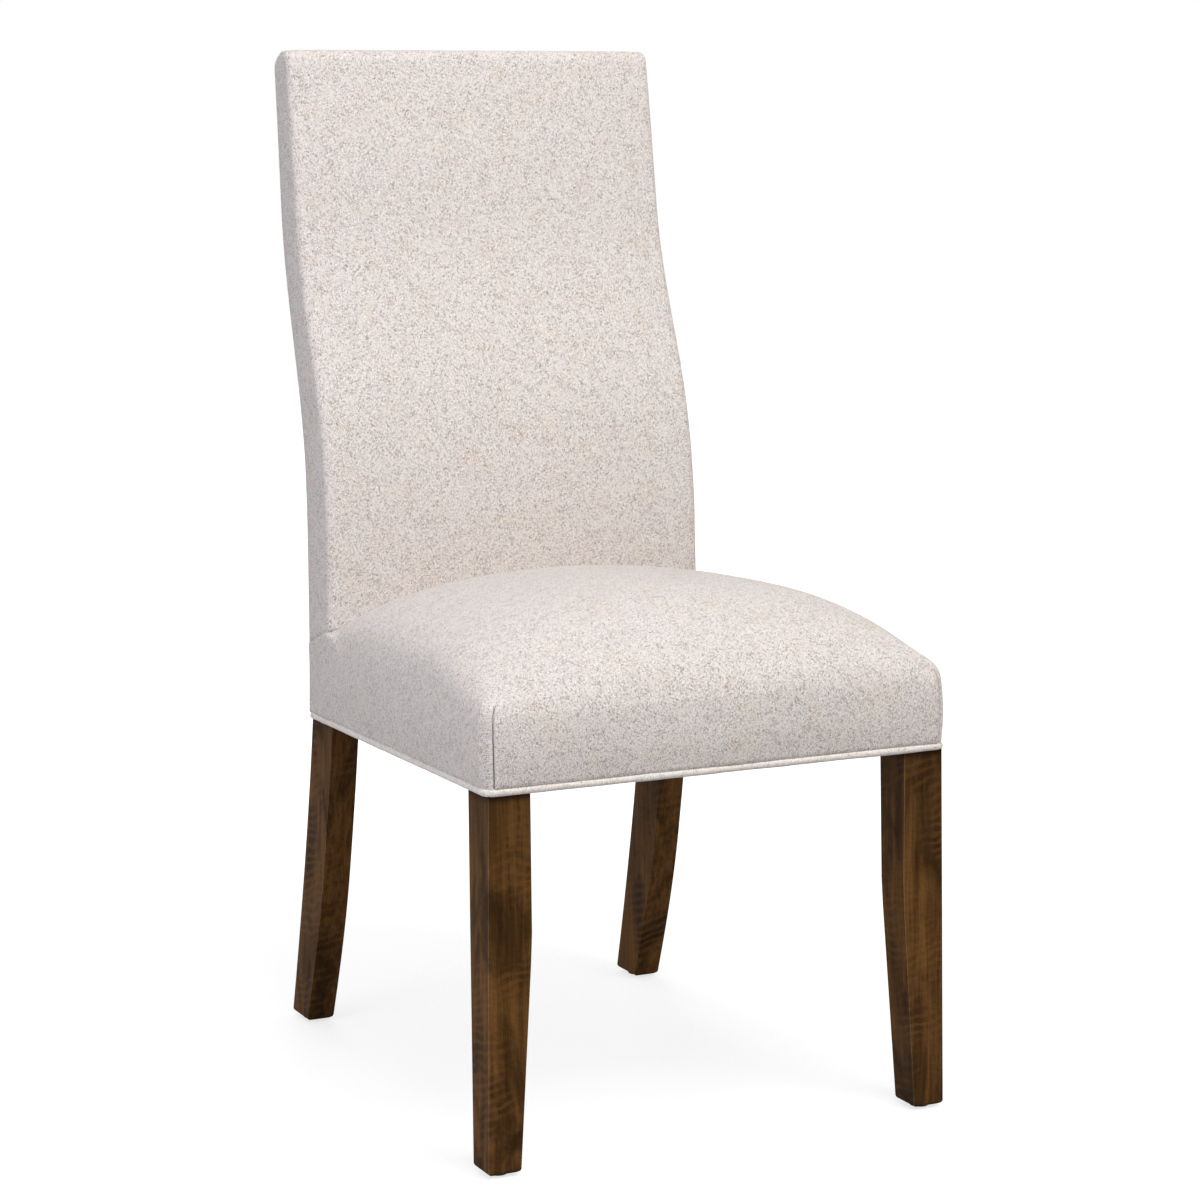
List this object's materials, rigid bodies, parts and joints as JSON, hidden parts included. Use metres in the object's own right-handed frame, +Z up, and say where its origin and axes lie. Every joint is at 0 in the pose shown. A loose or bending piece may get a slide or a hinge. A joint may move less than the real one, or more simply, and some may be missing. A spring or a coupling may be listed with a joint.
{
  "type": "upholstered side chair",
  "caption": "High-back upholstered side chair: curved padded back, crowned box seat with welt, tapered dark wood legs.",
  "frame": {"origin": "on the floor, at the middle of the chair's width and of its greatest depth", "axes": "+Z up, -Y towards the front of the seat, +X to the right of a person who faces the chair from the front"},
  "size_m": [0.4912, 0.6159, 1.044],
  "materials": {
    "stained_maple": "dark brown stain under satin lacquer, curly figure",
    "raw_maple": "planed, unfinished",
    "dowel_beech": "turned, unfinished",
    "zinc_screws": "zinc plated",
    "staple_wire": "galvanised wire",
    "webbing": "ribbed elastic webbing",
    "foam": "open-cell polyurethane foam",
    "batting": "soft polyester wadding",
    "cover_cloth": "oatmeal tweed weave with pale and grey flecks",
    "welt_cloth": "bias-cut cover cloth over cord, paler",
    "dust_cloth": "black non-woven cambric",
    "glide_nylon": "moulded nylon"
  },
  "bodies": {
    "root": {"front_leg_left": "stained_maple", "front_leg_right": "stained_maple", "rear_post_left": "stained_maple", "rear_post_right": "stained_maple", "front_seat_rail": "raw_maple", "rear_seat_rail": "raw_maple", "side_seat_rail_left": "raw_maple", "side_seat_rail_right": "raw_maple", "back_top_rail": "raw_maple", "back_middle_rail": "raw_maple", "back_bottom_rail": "raw_maple", "corner_block_front_left": "raw_maple", "corner_block_front_right": "raw_maple", "corner_block_rear_left": "raw_maple", "corner_block_rear_right": "raw_maple", "corner_block_screws": "zinc_screws", "seat_frame_dowels": "dowel_beech", "back_frame_dowels": "dowel_beech", "seat_straps_across": "webbing", "seat_straps_lengthwise": "webbing", "back_straps": "webbing", "seat_foam": "foam", "seat_batting": "batting", "seat_cover": "cover_cloth", "side_cover_tab_left": "cover_cloth", "side_cover_tab_right": "cover_cloth", "seat_welt": "welt_cloth", "dust_cover": "dust_cloth", "dust_cover_staples": "staple_wire", "back_foam": "foam", "inside_back_cover": "cover_cloth", "outside_back_batting": "batting", "outside_back_cover": "cover_cloth", "foot_glides": "glide_nylon"}
  },
  "joints": []
}
